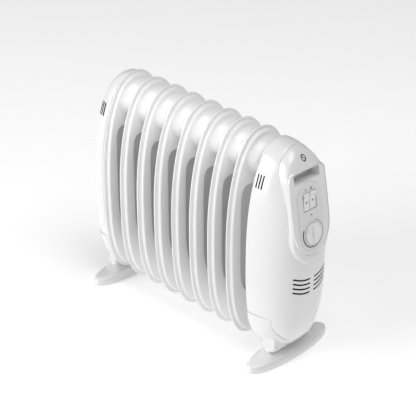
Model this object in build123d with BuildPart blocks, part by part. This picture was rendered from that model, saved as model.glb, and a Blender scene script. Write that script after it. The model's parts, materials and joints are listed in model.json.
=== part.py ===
from build123d import *
import os
from math import cos, pi, radians, sin

# Oil filled radiator heater. Millimetres, +Z up, the floor at z = 0.
# X runs from the rear cover (-X) to the control end (+X); Y is across the fins.
# The origin is on the floor, under the middle of the whole heater.

# ---------------------------------------------------------------- driving dimensions
overall_length = 402.0
fin_count = 8
fin_pitch = 36.0
first_fin_x = -158.5
axis_height = 174.0            # the widest level of the fins and covers above the floor

fin_half_width = 65.5
fin_top = 165.5                # above axis_height
fin_bottom = 160.3             # below axis_height
upper_exponent = 2.25          # roundness of the oval above its widest level
lower_exponent = 2.85          # and below it, a little squarer
outline_points = 28

sheet = 1.2                    # pressed steel sheet
bead_width = 5.0
bead_height = 2.5              # half the thickness of the hemmed rim
bead_round = 2.25
channel_inset = 6.5            # from the rim to the foot of the oil channel
channel_height = 6.5           # half the thickness of the oil channel
channel_round = 3.0
web_half_width = 45.0
web_top = 96.0                 # above axis_height
web_bottom = 96.0
web_corner = 22.0
web_level = 2.0                # half thickness where the two sheets are welded together
hub_top_z = 124.0              # above axis_height
hub_bottom_z = -121.0
hub_base_radius = 31.0
hub_neck_radius = 21.0
hub_flare = 5.0

end_plate_x = 127.0            # plate in the mouth of the front cover that closes the oil space
end_plate_thickness = 2.5
end_half_width = 56.0
end_top = 154.0
end_bottom = 145.0
end_hole_radius = 16.0
end_round = 1.0
edge_break = 1.0

cover_half_width = 61.4
cover_top = 162.5
cover_bottom = 152.9
cover_wall = 2.5
front_face_x = 126.0           # rear edge of the front cover
front_depth = 69.2
rear_face_x = -162.0           # front edge of the rear cover
rear_depth = overall_length / 2 + rear_face_x
rear_half_width = 64.0
front_plan_exponent = 2.37
rear_plan_exponent = 3.0
front_profile_upper = 3.0
front_profile_lower = 3.76
rear_profile_upper = 3.0
rear_profile_lower = 2.95
dome_stations = (0.0, 0.2, 0.4, 0.58, 0.72, 0.83, 0.91, 0.96, 0.985)

skirt_split_z = 82.0           # joint between the cover and its lower skirt
tongue_half_width = 50.0       # the front cover's tongue that laps down over the skirt
tongue_bottom_z = 30.0
skirt_proud = 1.8
part_gap = 0.4

hood_half_width = 37.6
hood_shoulder = 112.0          # above axis_height, where the round top starts
hood_top_radius = 47.0
hood_chin = 38.0               # above axis_height, where the round bottom starts
hood_bottom_radius = 43.0
hood_fullness = 80.0           # half width of the flatter dome that shapes the hood
hood_proud = 1.2
hood_seat = 0.15

panel_tilt = 9.7
panel_x = 189.0                # point on the panel's plane, at panel_z
panel_z = 236.0
panel_half_width = 34.8
panel_top = 71.0               # along the panel, from panel_z
panel_corner = 11.0
panel_chin = -8.0
panel_chin_depth = 46.0
panel_wall = 2.2
panel_rim = 9.0
pocket_half_width = 25.0
pocket_low = 53.0
pocket_high = 69.0
pocket_depth = 19.0
pocket_wall = 2.0
pocket_round = 2.0

fascia_half_width = 24.0
fascia_low = -22.6             # centre of the lower round end, on the knob's axis
fascia_high = 28.0
fascia_front = 0.9
fascia_seat = 0.7
fascia_round = 0.6
shaft_hole_radius = 5.0

knob_radius = 15.2
knob_back = 1.4
knob_face = 4.2
knob_front = 7.6
knob_bar_width = 6.4
knob_bar_length = 28.4
knob_round = 1.4
shaft_radius = 3.0
shaft_back = -21.0
shaft_front = 6.0
slip = 0.05
thermostat_width = 30.0
thermostat_height = 26.0
thermostat_back = -18.0
thermostat_round = 2.0

rocker_width = 10.6
rocker_radius = 13.4           # round ends, about the pivot
rocker_centre = 25.2
rocker_offset = 6.2            # from the panel's centre line
rocker_swing = 14.0
rocker_pivot = -5.0            # behind the panel's plane
rocker_crest = 6.8             # above the pivot, at the ends
rocker_valley = 5.2
rocker_floor = -2.5
rocker_clearance = 0.4
pin_radius = 1.0
lens_radius = 1.4
lens_depth = 2.0
switch_width = 28.0
switch_height = 32.0
switch_back = -17.0
switch_floor = -11.5

foot_half_length = 80.0
foot_half_depth = 22.6
foot_exponent = 2.2
foot_height = 12.0
foot_bottom_z = 1.0
foot_round = 4.0
front_foot_x = 152.1
rear_foot_x = -170.4
neck_half_length = 39.0
neck_round = 6.0
neck_top_z = 28.0
front_neck = (139.5, 165.0)    # from and to, along X
rear_neck = (-186.0, -167.0)
neck_gap = 1.0
pad_radius = 8.0
pad_height = 3.0
pad_y = 60.0

bracket_sheet = 1.5
bracket_half_width = 46.0
bracket_top_z = 232.0
bracket_corner = 10.0
bracket_flange_half = 38.0
bracket_waist_z = 58.0         # the plate widens above this level
bracket_shoulder_z = 92.0
front_waist = 38.0             # half width of the plate inside the neck's opening
rear_waist = 24.0
bracket_notch_half = 28.5
bracket_notch_z = 84.0
front_bracket_x = 143.0
tab_inner_y = 40.0
tab_half_height = 20.0
screw_radius = 2.0
screw_head_radius = 4.0
screw_head_height = 3.0
foot_screw_y = 25.0
foot_screw_head_z = 8.0
foot_screw_tip_z = 33.0
cover_screw_offset = 60.0
cover_screw_head_x = -199.0
cover_screw_head_height = 1.2
cover_post_radius = 4.5
cover_screw_tip_x = -163.0

tube_radius = 4.0
tube_spacing = 9.0             # from the hub's axis to each leg of the heating tube
tube_reach_x = -137.0
terminal_radius = 1.6
terminal_end_x = 160.0
flange_radius = 24.0
gasket_radius = 22.0
flange_thickness = 6.0
gasket_thickness = 1.5
plug_radius = 8.0
plug_across_flats = 17.0
plug_height = 7.0
cutout_radius = 9.0
cutout_height = 8.0
cutout_round = 1.5

gland_x = 150.0
gland_z = 100.0
gland_radius = 6.0
gland_flange_radius = 9.0
gland_bore_radius = 3.75
gland_inner_y = 50.0
gland_outer_y = 62.0
gland_flange_y = 56.2
gland_flange_height = 3.0
gland_round = 1.5

block_width = 26.0
block_height = 12.0
block_depth = 12.0
block_z = 120.0
lead_radius = 1.3
lead_run = 9.0                 # straight run out of the switch
lead_bend = 4.0
lead_reach = 12.0              # straight run out of the gland and the terminals
lead_drop = 20.0

side_vent_count = 3
side_vent_pitch = 4.5
side_vent_width = 2.0
side_vent_length = 18.5
side_vent_z = 115.0            # above axis_height
front_vent_inset = 11.0        # from the edge of the cover to the middle slot
rear_vent_inset = 13.5
front_vent_count = 4
front_vent_pitch = 7.2
front_vent_z = -30.0           # above axis_height
front_vent_width = 2.2
front_vent_inner = 5.0
front_vent_outer = 31.0
front_vent_rise = 6.5

tilt = radians(panel_tilt)
end_front_x = end_plate_x + end_plate_thickness
rear_flank_x = first_fin_x - channel_height
flange_x = end_front_x + gasket_thickness
element_z = axis_height + hub_bottom_z
ACROSS = Plane(origin=(0, 0, axis_height), x_dir=(0, 1, 0), z_dir=(1, 0, 0))
PANEL = Plane(origin=(panel_x, 0, panel_z), x_dir=(0, 1, 0), z_dir=(cos(tilt), 0, sin(tilt)))
SIDE = Plane(origin=(0, 0, 0), x_dir=(1, 0, 0), z_dir=(0, -1, 0))


# ---------------------------------------------------------------- shared outlines
def oval_points(half_width, top, bottom, upper=upper_exponent, lower=lower_exponent):
    """Points of a closed oval whose upper and lower halves have their own height and roundness."""
    points = []
    for step in range(outline_points):
        angle = 2 * pi * step / outline_points
        exponent = upper if sin(angle) >= 0 else lower
        height = top if sin(angle) >= 0 else bottom
        scale = (abs(cos(angle)) ** exponent + abs(sin(angle)) ** exponent) ** (-1 / exponent)
        points.append((scale * half_width * cos(angle), scale * height * sin(angle)))
    return points


def oval(plane, half_width, top, bottom, upper=upper_exponent, lower=lower_exponent):
    """Face of the oval on a plane across the heater."""
    with BuildSketch(plane) as outline:
        with BuildLine():
            Spline(*oval_points(half_width, top, bottom, upper, lower), periodic=True)
        make_face()
    return outline.sketch


def shrink(value, station, exponent):
    """Half size of a dome's section at this fraction of its depth."""
    return value * (1 - station ** exponent) ** (1 / exponent)


def dome(face_x, depth, half_width, top, bottom, plan, upper, lower, grow=0.0):
    """Solid dome that bulges from an oval face; a negative depth bulges towards -X."""
    direction = 1 if depth > 0 else -1
    reach = abs(depth) + grow
    sections = []
    for station in dome_stations:
        width = shrink(half_width + grow, station, plan)
        above = shrink(top + grow, station, upper)
        below = shrink(bottom + grow, station, lower)
        sections.append(oval(ACROSS.offset(face_x + direction * reach * station), width, above, below))
    with BuildPart() as body:
        loft(sections)
    return body.part


def front_dome(grow=0.0):
    return dome(front_face_x, front_depth, cover_half_width, cover_top, cover_bottom,
                front_plan_exponent, front_profile_upper, front_profile_lower, grow)


def rear_dome(grow=0.0):
    return dome(rear_face_x, -rear_depth, rear_half_width, cover_top, cover_bottom,
                rear_plan_exponent, rear_profile_upper, rear_profile_lower, grow)


def finish(part, label):
    """Label a finished piece and write it to its own file."""
    part.label = label
    export_step(part, f"parts/{label}.step")


def disc(plane, height, radius):
    """Round face at this height above the plane's origin."""
    with BuildSketch(plane) as outline:
        with Locations((0, height)):
            Circle(radius)
    return outline.sketch


os.makedirs("parts", exist_ok=True)


# ---------------------------------------------------------------- radiator elements
def web_outline(plane, scale, grow=0.0):
    """Panel in the middle of an element where its two sheets meet."""
    width = 2 * (web_half_width * scale + grow)
    height = (web_top + web_bottom) * scale + 2 * grow
    with BuildSketch(plane) as outline:
        RectangleRounded(width, height, web_corner * scale)
    return outline.sketch


def oil_space(width, top, bottom, channel, scale, hub_end):
    """Space for the oil inside one pressed sheet; a hub_end of 0 leaves the hubs closed."""
    with BuildPart() as space:
        extrude(oval(ACROSS, width, top, bottom), amount=channel)
        fillet(space.edges().group_by(Axis.X)[-1], radius=channel_round - sheet)
        extrude(web_outline(ACROSS, scale, sheet), amount=channel, mode=Mode.SUBTRACT)
        if hub_end:
            for height in (hub_top_z, hub_bottom_z):
                extrude(disc(ACROSS, height, hub_neck_radius - sheet), amount=hub_end)
    return space.part


def pressed_shell(half_width, top, bottom, channel, hub_end):
    """One pressed sheet of an element: its seam on the plane across the origin, bulging to +X."""
    width = half_width - channel_inset
    above = top - channel_inset
    below = bottom - channel_inset
    scale = half_width / fin_half_width
    flange = (half_width - bead_width, top - bead_width, bottom - bead_width)
    with BuildPart() as shell:
        # hemmed rim round the welded seam
        extrude(oval(ACROSS, half_width, top, bottom), amount=bead_height)
        fillet(shell.edges().group_by(Axis.X)[-1], radius=bead_round)
        extrude(oval(ACROSS.offset(sheet), *flange), amount=bead_height, mode=Mode.SUBTRACT)
        # flank over the oil channel
        extrude(oval(ACROSS, width, above, below), amount=channel)
        fillet(shell.edges().group_by(Axis.X)[-1], radius=channel_round)
        # hubs that join this element to its neighbour
        if hub_end:
            for height in (hub_top_z, hub_bottom_z):
                base = disc(ACROSS.offset(sheet), height, hub_base_radius)
                waist = disc(ACROSS.offset(channel + hub_flare), height, hub_neck_radius)
                loft([base, waist], ruled=True)
                extrude(disc(ACROSS, height, hub_neck_radius), amount=hub_end)
        add(oil_space(width - sheet, above - sheet, below - sheet, channel - sheet, scale, hub_end),
            mode=Mode.SUBTRACT)
        # the two sheets meet at the web
        extrude(web_outline(ACROSS.offset(sheet), scale), amount=channel, mode=Mode.SUBTRACT)
    return shell.part


def make_elements():
    """Every element is a rear and a front sheet, welded at the rim, the web and the hubs."""
    size = (fin_half_width, fin_top, fin_bottom)
    joined = pressed_shell(*size, channel_height, fin_pitch / 2)
    blind = pressed_shell(*size, channel_height, 0)
    for index in range(fin_count):
        seam = Pos(first_fin_x + index * fin_pitch, 0, 0)
        rear = blind if index == 0 else joined
        finish(seam * mirror(rear, about=Plane.YZ), f"element_{index + 1}_rear_sheet")
        finish(seam * joined, f"element_{index + 1}_front_sheet")


def make_end_plate():
    """Plate in the mouth of the front cover that closes the oil space and carries the electrics."""
    last_waist_x = first_fin_x + (fin_count - 1) * fin_pitch + fin_pitch / 2
    with BuildPart() as plate:
        extrude(oval(ACROSS.offset(end_plate_x), end_half_width, end_top, end_bottom),
                amount=end_plate_thickness)
        fillet(plate.edges(), radius=end_round)
        for height in (hub_top_z, hub_bottom_z):
            extrude(disc(ACROSS.offset(last_waist_x), height, hub_neck_radius),
                    amount=end_plate_x - last_waist_x)
            extrude(disc(ACROSS.offset(last_waist_x), height, hub_neck_radius - sheet),
                    amount=end_plate_x - last_waist_x, mode=Mode.SUBTRACT)
        extrude(disc(ACROSS.offset(end_plate_x), hub_bottom_z, end_hole_radius),
                amount=end_plate_thickness, mode=Mode.SUBTRACT)
        extrude(disc(ACROSS.offset(end_plate_x), hub_top_z, plug_radius),
                amount=end_plate_thickness, mode=Mode.SUBTRACT)
    finish(plate.part, "end_plate")


# ---------------------------------------------------------------- heating element and oil plug
def make_heating_element():
    """U-shaped heating tube in the lower hubs, with its two terminals."""
    front_x = flange_x + flange_thickness
    with BuildPart() as tube:
        with BuildLine() as path:
            first = (front_x, -tube_spacing, element_z)
            turn_in = (tube_reach_x, -tube_spacing, element_z)
            turn = (tube_reach_x - tube_spacing, 0, element_z)
            turn_out = (tube_reach_x, tube_spacing, element_z)
            last = (front_x, tube_spacing, element_z)
            Line(first, turn_in)
            ThreePointArc(turn_in, turn, turn_out)
            Line(turn_out, last)
        with BuildSketch(Plane(origin=first, z_dir=(-1, 0, 0))):
            Circle(tube_radius)
        sweep()
        with BuildSketch(Plane(origin=(front_x, 0, element_z), x_dir=(0, 1, 0), z_dir=(1, 0, 0))):
            with GridLocations(2 * tube_spacing, 1, 2, 1):
                Circle(terminal_radius)
        extrude(amount=terminal_end_x - front_x)
    finish(tube.part, "heating_element")


def make_element_fittings():
    """Gasket and flange that seal the heating element into the end element."""
    with BuildPart() as gasket:
        extrude(disc(ACROSS.offset(end_front_x), hub_bottom_z, gasket_radius), amount=gasket_thickness)
        extrude(disc(ACROSS.offset(end_front_x), hub_bottom_z, end_hole_radius),
                amount=gasket_thickness, mode=Mode.SUBTRACT)
    finish(gasket.part, "flange_gasket")
    with BuildPart() as flange:
        extrude(disc(ACROSS.offset(flange_x), hub_bottom_z, flange_radius), amount=flange_thickness)
        chamfer(flange.edges().group_by(Axis.X)[-1], length=edge_break)
        with BuildSketch(ACROSS.offset(flange_x)):
            with Locations((0, hub_bottom_z)):
                with GridLocations(2 * tube_spacing, 1, 2, 1):
                    Circle(tube_radius + slip)
        extrude(amount=flange_thickness, mode=Mode.SUBTRACT)
    finish(flange.part, "element_flange")
    with BuildPart() as plug:
        extrude(disc(ACROSS.offset(end_plate_x), hub_top_z, plug_radius - slip), amount=end_plate_thickness)
        with BuildSketch(ACROSS.offset(end_front_x)):
            with Locations((0, hub_top_z)):
                RegularPolygon(plug_across_flats / 2, 6, major_radius=False)
        extrude(amount=plug_height)
        chamfer(plug.edges().group_by(Axis.X)[-1], length=edge_break)
    finish(plug.part, "oil_filler_plug")
    with BuildPart() as cutout:
        with BuildSketch(ACROSS.offset(end_front_x)):
            with Locations((0, web_top)):
                Circle(cutout_radius)
        extrude(amount=cutout_height)
        fillet(cutout.edges().group_by(Axis.X)[-1], radius=cutout_round)
    finish(cutout.part, "thermal_cutout")


# ---------------------------------------------------------------- brackets
def make_bracket(label, plate_x, waist, flange_end_x, tab_end_x):
    """Sheet bracket: upright plate and foot flange; the front one also has a notch and two tabs."""
    flange_low = min(plate_x, flange_end_x)
    with BuildPart() as bracket:
        with BuildSketch(Plane.YZ.offset(plate_x)):
            with BuildLine():
                Polyline((0, neck_top_z), (waist, neck_top_z), (waist, bracket_waist_z),
                         (bracket_half_width, bracket_shoulder_z), (bracket_half_width, bracket_top_z),
                         (0, bracket_top_z), (0, neck_top_z))
            make_face()
            mirror(about=Plane.YZ)
            if plate_x > 0:
                with Locations((0, neck_top_z + bracket_sheet)):
                    Rectangle(2 * bracket_notch_half, bracket_notch_z - neck_top_z,
                              align=(Align.CENTER, Align.MIN), mode=Mode.SUBTRACT)
        extrude(amount=bracket_sheet)
        corners = bracket.edges().filter_by(Axis.X).group_by(Axis.Z)[-1]
        fillet(corners, radius=bracket_corner)
        with BuildSketch(Plane.XY.offset(neck_top_z)):
            with Locations((flange_low, 0)):
                Rectangle(abs(flange_end_x - plate_x), 2 * bracket_flange_half,
                          align=(Align.MIN, Align.CENTER))
        extrude(amount=bracket_sheet)
        if tab_end_x != plate_x:
            for side in (-1, 1):
                with BuildSketch(Plane.YZ.offset(tab_end_x)):
                    with Locations((side * (tab_inner_y + bracket_half_width) / 2, axis_height)):
                        Rectangle(bracket_half_width - tab_inner_y, 2 * tab_half_height)
                extrude(amount=plate_x - tab_end_x)
        with BuildSketch(Plane.XY.offset(neck_top_z)):
            with Locations(((sum(front_neck) if plate_x > 0 else sum(rear_neck)) / 2, 0)):
                with GridLocations(1, 2 * foot_screw_y, 1, 2):
                    Circle(screw_radius + slip)
        extrude(amount=bracket_sheet, mode=Mode.SUBTRACT)
        if plate_x < 0:
            with BuildSketch(ACROSS.offset(plate_x)):
                with GridLocations(1, 2 * cover_screw_offset, 1, 2):
                    Circle(screw_radius + slip)
            extrude(amount=bracket_sheet, mode=Mode.SUBTRACT)
    finish(bracket.part, label)


# ---------------------------------------------------------------- covers and skirts
def below_split(start_x=0.0, gap=0.0):
    """Region of a cover below its joint, outside the tongue that laps over the skirt."""
    drop = skirt_split_z - axis_height - gap
    tongue = tongue_half_width + gap
    reach = axis_height - tongue_bottom_z - part_gap + gap
    with BuildSketch(ACROSS.offset(start_x)) as region:
        with Locations((0, drop)):
            Rectangle(4 * cover_half_width, axis_height, align=(Align.CENTER, Align.MAX))
        with BuildLine():
            ThreePointArc((-tongue, drop), (0, -reach), (tongue, drop))
            Line((tongue, drop), (tongue, drop + tongue))
            Line((tongue, drop + tongue), (-tongue, drop + tongue))
            Line((-tongue, drop + tongue), (-tongue, drop))
        make_face(mode=Mode.SUBTRACT)
    return region.sketch


def side_vents(centre_x, centre_z):
    """Upright slots cut through both sides of a cover."""
    with BuildPart() as cutter:
        with BuildSketch(SIDE):
            for index in range(side_vent_count):
                shift = (index - (side_vent_count - 1) / 2) * side_vent_pitch
                with Locations((centre_x + shift, centre_z)):
                    SlotOverall(side_vent_length, side_vent_width, rotation=90)
        extrude(amount=2 * cover_half_width, both=True)
    return cutter.part


def front_vents():
    """Two columns of curved slots, low on the front of the front cover."""
    with BuildPart() as cutter:
        with BuildSketch(ACROSS):
            for index in range(front_vent_count):
                height = front_vent_z - index * front_vent_pitch
                for side in (-1, 1):
                    with BuildLine():
                        inner = (side * front_vent_inner, height)
                        middle = (side * (front_vent_inner + front_vent_outer) / 2, height + front_vent_rise / 4)
                        outer = (side * front_vent_outer, height + front_vent_rise)
                        slot = ThreePointArc(inner, middle, outer)
                    trace(slot, line_width=front_vent_width)
        extrude(amount=overall_length)
    return cutter.part


def hood_outline(plane, inset=0.0):
    """Outline of the hood round the control panel."""
    width = hood_half_width - inset
    with BuildSketch(plane) as outline:
        with BuildLine():
            EllipticalCenterArc((0, hood_shoulder), width, hood_top_radius - inset, arc_size=180)
            Line((-width, hood_shoulder), (-width, hood_chin))
            EllipticalCenterArc((0, hood_chin), width, hood_bottom_radius - inset, 180, arc_size=180)
            Line((width, hood_chin), (width, hood_shoulder))
        make_face()
    return outline.sketch


def panel_outline(plane, inset=0.0):
    """Outline of the control panel: round bottom, square top with soft corners."""
    width = panel_half_width - inset
    corner = panel_corner - inset
    top = panel_top - inset
    with BuildSketch(plane) as outline:
        with BuildLine():
            EllipticalCenterArc((0, panel_chin), width, panel_chin_depth - inset, 180, arc_size=180)
            Line((width, panel_chin), (width, top - corner))
            RadiusArc((width, top - corner), (width - corner, top), -corner)
            Line((width - corner, top), (-width + corner, top))
            RadiusArc((-width + corner, top), (-width, top - corner), -corner)
            Line((-width, top - corner), (-width, panel_chin))
        make_face()
    return outline.sketch


def neck_outline(plane, span, gap=0.0):
    """Footprint of the neck that joins a foot to its bracket."""
    with BuildSketch(plane) as outline:
        with Locations((sum(span) / 2, 0)):
            RectangleRounded(abs(span[1] - span[0]) + 2 * gap, 2 * (neck_half_length + gap), neck_round)
    return outline.sketch


def cut_skirt(outer, inner, start_x, side, span):
    """Lower skirt of a cover: a collar round the neck of the foot, which starts at start_x."""
    with BuildPart() as skirt:
        add(outer)
        add(inner, mode=Mode.SUBTRACT)
        extrude(below_split(start_x, part_gap), amount=side * overall_length, mode=Mode.INTERSECT)
        extrude(neck_outline(Plane.XY, span, neck_gap), amount=neck_top_z * 2, mode=Mode.SUBTRACT)
    return skirt.part


def make_front_cover():
    """Front cover, open at the back and where the control panel sits."""
    with BuildPart() as cover:
        add(front_dome())
        add(front_dome(-cover_wall), mode=Mode.SUBTRACT)
        extrude(below_split(), amount=overall_length, mode=Mode.SUBTRACT)
        extrude(panel_outline(PANEL.offset(-fin_pitch), -neck_gap), amount=2 * fin_pitch, mode=Mode.SUBTRACT)
        add(side_vents(front_face_x + front_vent_inset, axis_height + side_vent_z), mode=Mode.SUBTRACT)
        add(front_vents(), mode=Mode.SUBTRACT)
        with BuildSketch(Plane(origin=(gland_x, 0, gland_z), x_dir=(1, 0, 0), z_dir=(0, 1, 0))):
            Circle(gland_radius + slip)
        extrude(amount=2 * cover_half_width, mode=Mode.SUBTRACT)
        with BuildSketch(Plane(origin=(gland_x, gland_flange_y, gland_z), x_dir=(1, 0, 0), z_dir=(0, 1, 0))):
            Circle(gland_flange_radius + slip)
        extrude(amount=gland_flange_height, mode=Mode.SUBTRACT)
    finish(cover.part, "front_cover")
    finish(cut_skirt(front_dome(skirt_proud), front_dome(skirt_proud - cover_wall),
                     front_face_x, 1, front_neck), "front_skirt")


def make_rear_cover():
    """Rear cover, held to the rear bracket by two screws."""
    with BuildPart() as cover:
        add(rear_dome())
        add(rear_dome(-cover_wall), mode=Mode.SUBTRACT)
        extrude(below_split(), amount=-overall_length, mode=Mode.SUBTRACT)
        add(side_vents(rear_face_x - rear_vent_inset, axis_height + side_vent_z), mode=Mode.SUBTRACT)
        with BuildSketch(ACROSS.offset(cover_screw_head_x)):
            with GridLocations(1, 2 * cover_screw_offset, 1, 2):
                Circle(cover_post_radius)
        extrude(amount=rear_flank_x - bracket_sheet - cover_screw_head_x)
        with BuildSketch(ACROSS.offset(cover_screw_head_x)):
            with GridLocations(1, 2 * cover_screw_offset, 1, 2):
                Circle(screw_radius + slip)
        extrude(amount=overall_length / 2, mode=Mode.SUBTRACT)
        with BuildSketch(ACROSS.offset(cover_screw_head_x)):
            with GridLocations(1, 2 * cover_screw_offset, 1, 2):
                Circle(screw_head_radius + slip)
        extrude(amount=-overall_length, mode=Mode.SUBTRACT)
    finish(cover.part, "rear_cover")
    finish(cut_skirt(rear_dome(skirt_proud), rear_dome(skirt_proud - cover_wall),
                     rear_flank_x - part_gap, -1, rear_neck), "rear_skirt")


def make_hood():
    """Raised hood that frames the control panel and shades the grip pocket."""
    full = dome(front_face_x, front_depth, hood_fullness, cover_top, cover_bottom,
                front_plan_exponent, front_profile_upper, front_profile_lower, hood_proud)
    with BuildPart() as hood:
        extrude(hood_outline(ACROSS), amount=overall_length)
        add(full, mode=Mode.INTERSECT)
        split(bisect_by=PANEL.offset(hood_proud), keep=Keep.BOTTOM)
        add(front_dome(hood_seat), mode=Mode.SUBTRACT)
        extrude(panel_outline(PANEL.offset(-fin_pitch), -part_gap), amount=2 * fin_pitch, mode=Mode.SUBTRACT)
    finish(hood.part, "control_hood")


# ---------------------------------------------------------------- control panel
def rocker_openings(plane):
    """The two rectangular openings for the rockers."""
    with BuildSketch(plane) as outline:
        with Locations((0, rocker_centre)):
            with GridLocations(2 * rocker_offset, 1, 2, 1):
                Rectangle(rocker_width + 2 * rocker_clearance, 2 * (rocker_radius + rocker_clearance))
    return outline.sketch


def fascia_outline(plane, grow=0.0):
    """Round-ended fascia that carries the rockers and the knob."""
    with BuildSketch(plane) as outline:
        with Locations((0, (fascia_low + fascia_high) / 2)):
            SlotCenterToCenter(fascia_high - fascia_low, 2 * (fascia_half_width + grow), rotation=90)
    return outline.sketch


def pocket_outline(plane, grow=0.0):
    """Opening of the finger grip under the hood."""
    with BuildSketch(plane) as outline:
        with Locations((0, (pocket_low + pocket_high) / 2)):
            RectangleRounded(2 * (pocket_half_width + grow), pocket_high - pocket_low + 2 * grow,
                             pocket_round + grow)
    return outline.sketch


def make_control_panel():
    """Panel with its rim, grip pocket and seat for the fascia."""
    with BuildPart() as panel:
        extrude(panel_outline(PANEL.offset(-panel_rim)), amount=panel_rim)
        extrude(panel_outline(PANEL.offset(-panel_rim), panel_wall), amount=panel_rim - panel_wall,
                mode=Mode.SUBTRACT)
        extrude(pocket_outline(PANEL, pocket_wall), amount=-pocket_depth - pocket_wall)
        extrude(pocket_outline(PANEL), amount=-pocket_depth, mode=Mode.SUBTRACT)
        extrude(fascia_outline(PANEL.offset(-fascia_seat), rocker_clearance / 2), amount=panel_wall,
                mode=Mode.SUBTRACT)
        extrude(rocker_openings(PANEL), amount=-panel_wall, mode=Mode.SUBTRACT)
        extrude(disc(PANEL, fascia_low, shaft_hole_radius), amount=-panel_wall, mode=Mode.SUBTRACT)
    finish(panel.part, "control_panel")
    with BuildPart() as fascia:
        extrude(fascia_outline(PANEL.offset(-fascia_seat)), amount=fascia_seat + fascia_front)
        fillet(fascia.faces().sort_by(Axis.X)[-1].edges(), radius=fascia_round)
        extrude(rocker_openings(PANEL.offset(-panel_wall)), amount=2 * panel_wall, mode=Mode.SUBTRACT)
        extrude(disc(PANEL.offset(-panel_wall), fascia_low, shaft_hole_radius), amount=2 * panel_wall,
                mode=Mode.SUBTRACT)
    finish(fascia.part, "fascia")


def make_knob():
    """Thermostat knob with a grip bar, on the thermostat's shaft."""
    with BuildPart() as knob:
        extrude(disc(PANEL.offset(knob_back), fascia_low, knob_radius), amount=knob_face - knob_back)
        fillet(knob.faces().sort_by(Axis.X)[-1].edges(), radius=knob_round)
        with BuildSketch(PANEL.offset(knob_back)):
            with Locations((0, fascia_low)):
                SlotOverall(knob_bar_length, knob_bar_width, rotation=90)
        extrude(amount=knob_front - knob_back)
        fillet(knob.faces().sort_by(Axis.X)[-1].edges(), radius=knob_round)
        extrude(disc(PANEL, fascia_low, shaft_radius + slip), amount=shaft_front + slip, mode=Mode.SUBTRACT)
    finish(knob.part, "thermostat_knob")
    with BuildPart() as shaft:
        extrude(disc(PANEL.offset(shaft_back), fascia_low, shaft_radius), amount=shaft_front - shaft_back)
    finish(shaft.part, "thermostat_shaft")
    with BuildPart() as thermostat:
        with BuildSketch(PANEL.offset(thermostat_back)):
            with Locations((0, fascia_low)):
                RectangleRounded(thermostat_width, thermostat_height, thermostat_round)
        extrude(amount=-panel_wall - thermostat_back)
        extrude(disc(PANEL.offset(2 * thermostat_back), fascia_low, shaft_radius + slip),
                amount=-2 * thermostat_back, mode=Mode.SUBTRACT)
    finish(thermostat.part, "thermostat_body")


def make_switches():
    """Twin rocker switch: body, pivot pin, two rockers and their lenses."""
    with BuildPart() as body:
        with BuildSketch(PANEL.offset(switch_back)):
            with Locations((0, rocker_centre)):
                Rectangle(switch_width, switch_height)
        extrude(amount=-panel_wall - switch_back)
        extrude(rocker_openings(PANEL.offset(switch_floor)), amount=-switch_floor, mode=Mode.SUBTRACT)
        pivot = PANEL.offset(rocker_pivot)
        across = Plane(origin=pivot.from_local_coords((0, rocker_centre, 0)), x_dir=pivot.y_dir,
                       z_dir=(0, 1, 0))
        with BuildSketch(across):
            Circle(pin_radius)
        extrude(amount=switch_width, both=True, mode=Mode.SUBTRACT)
    finish(body.part, "switch_body")
    with BuildPart() as pin:
        with BuildSketch(across):
            Circle(pin_radius)
        extrude(amount=switch_width / 2, both=True)
    finish(pin.part, "rocker_pivot_pin")
    for side, name in ((-1, "left"), (1, "right")):
        make_rocker(across, side * rocker_offset, name)


def make_rocker(across, offset, name):
    """Rocker at rest with its lower end pressed in, and the small lens in its middle."""
    lean = radians(rocker_swing / 2)
    along = across.x_dir * cos(lean) + across.y_dir * sin(lean)
    plane = Plane(origin=across.origin, x_dir=along, z_dir=across.z_dir).offset(offset)
    crest = (rocker_radius ** 2 - rocker_crest ** 2) ** 0.5
    floor = (rocker_radius ** 2 - rocker_floor ** 2) ** 0.5
    with BuildPart() as rocker:
        with BuildSketch(plane):
            with BuildLine():
                Line((-floor, rocker_floor), (floor, rocker_floor))
                ThreePointArc((floor, rocker_floor), (rocker_radius, 0), (crest, rocker_crest))
                Line((crest, rocker_crest), (0, rocker_valley))
                Line((0, rocker_valley), (-crest, rocker_crest))
                ThreePointArc((-crest, rocker_crest), (-rocker_radius, 0), (-floor, rocker_floor))
            make_face()
        extrude(amount=rocker_width / 2, both=True)
        with BuildSketch(plane):
            Circle(pin_radius + slip)
        extrude(amount=rocker_width, both=True, mode=Mode.SUBTRACT)
        seat = Plane(origin=plane.from_local_coords((0, rocker_valley - lens_depth, 0)), z_dir=plane.y_dir)
        with BuildSketch(seat):
            Circle(lens_radius + slip)
        extrude(amount=rocker_crest, mode=Mode.SUBTRACT)
    finish(rocker.part, f"{name}_rocker")
    with BuildPart() as lens:
        with BuildSketch(seat):
            Circle(lens_radius)
        extrude(amount=lens_depth + 2 * slip)
    finish(lens.part, f"{name}_rocker_lens")


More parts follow.
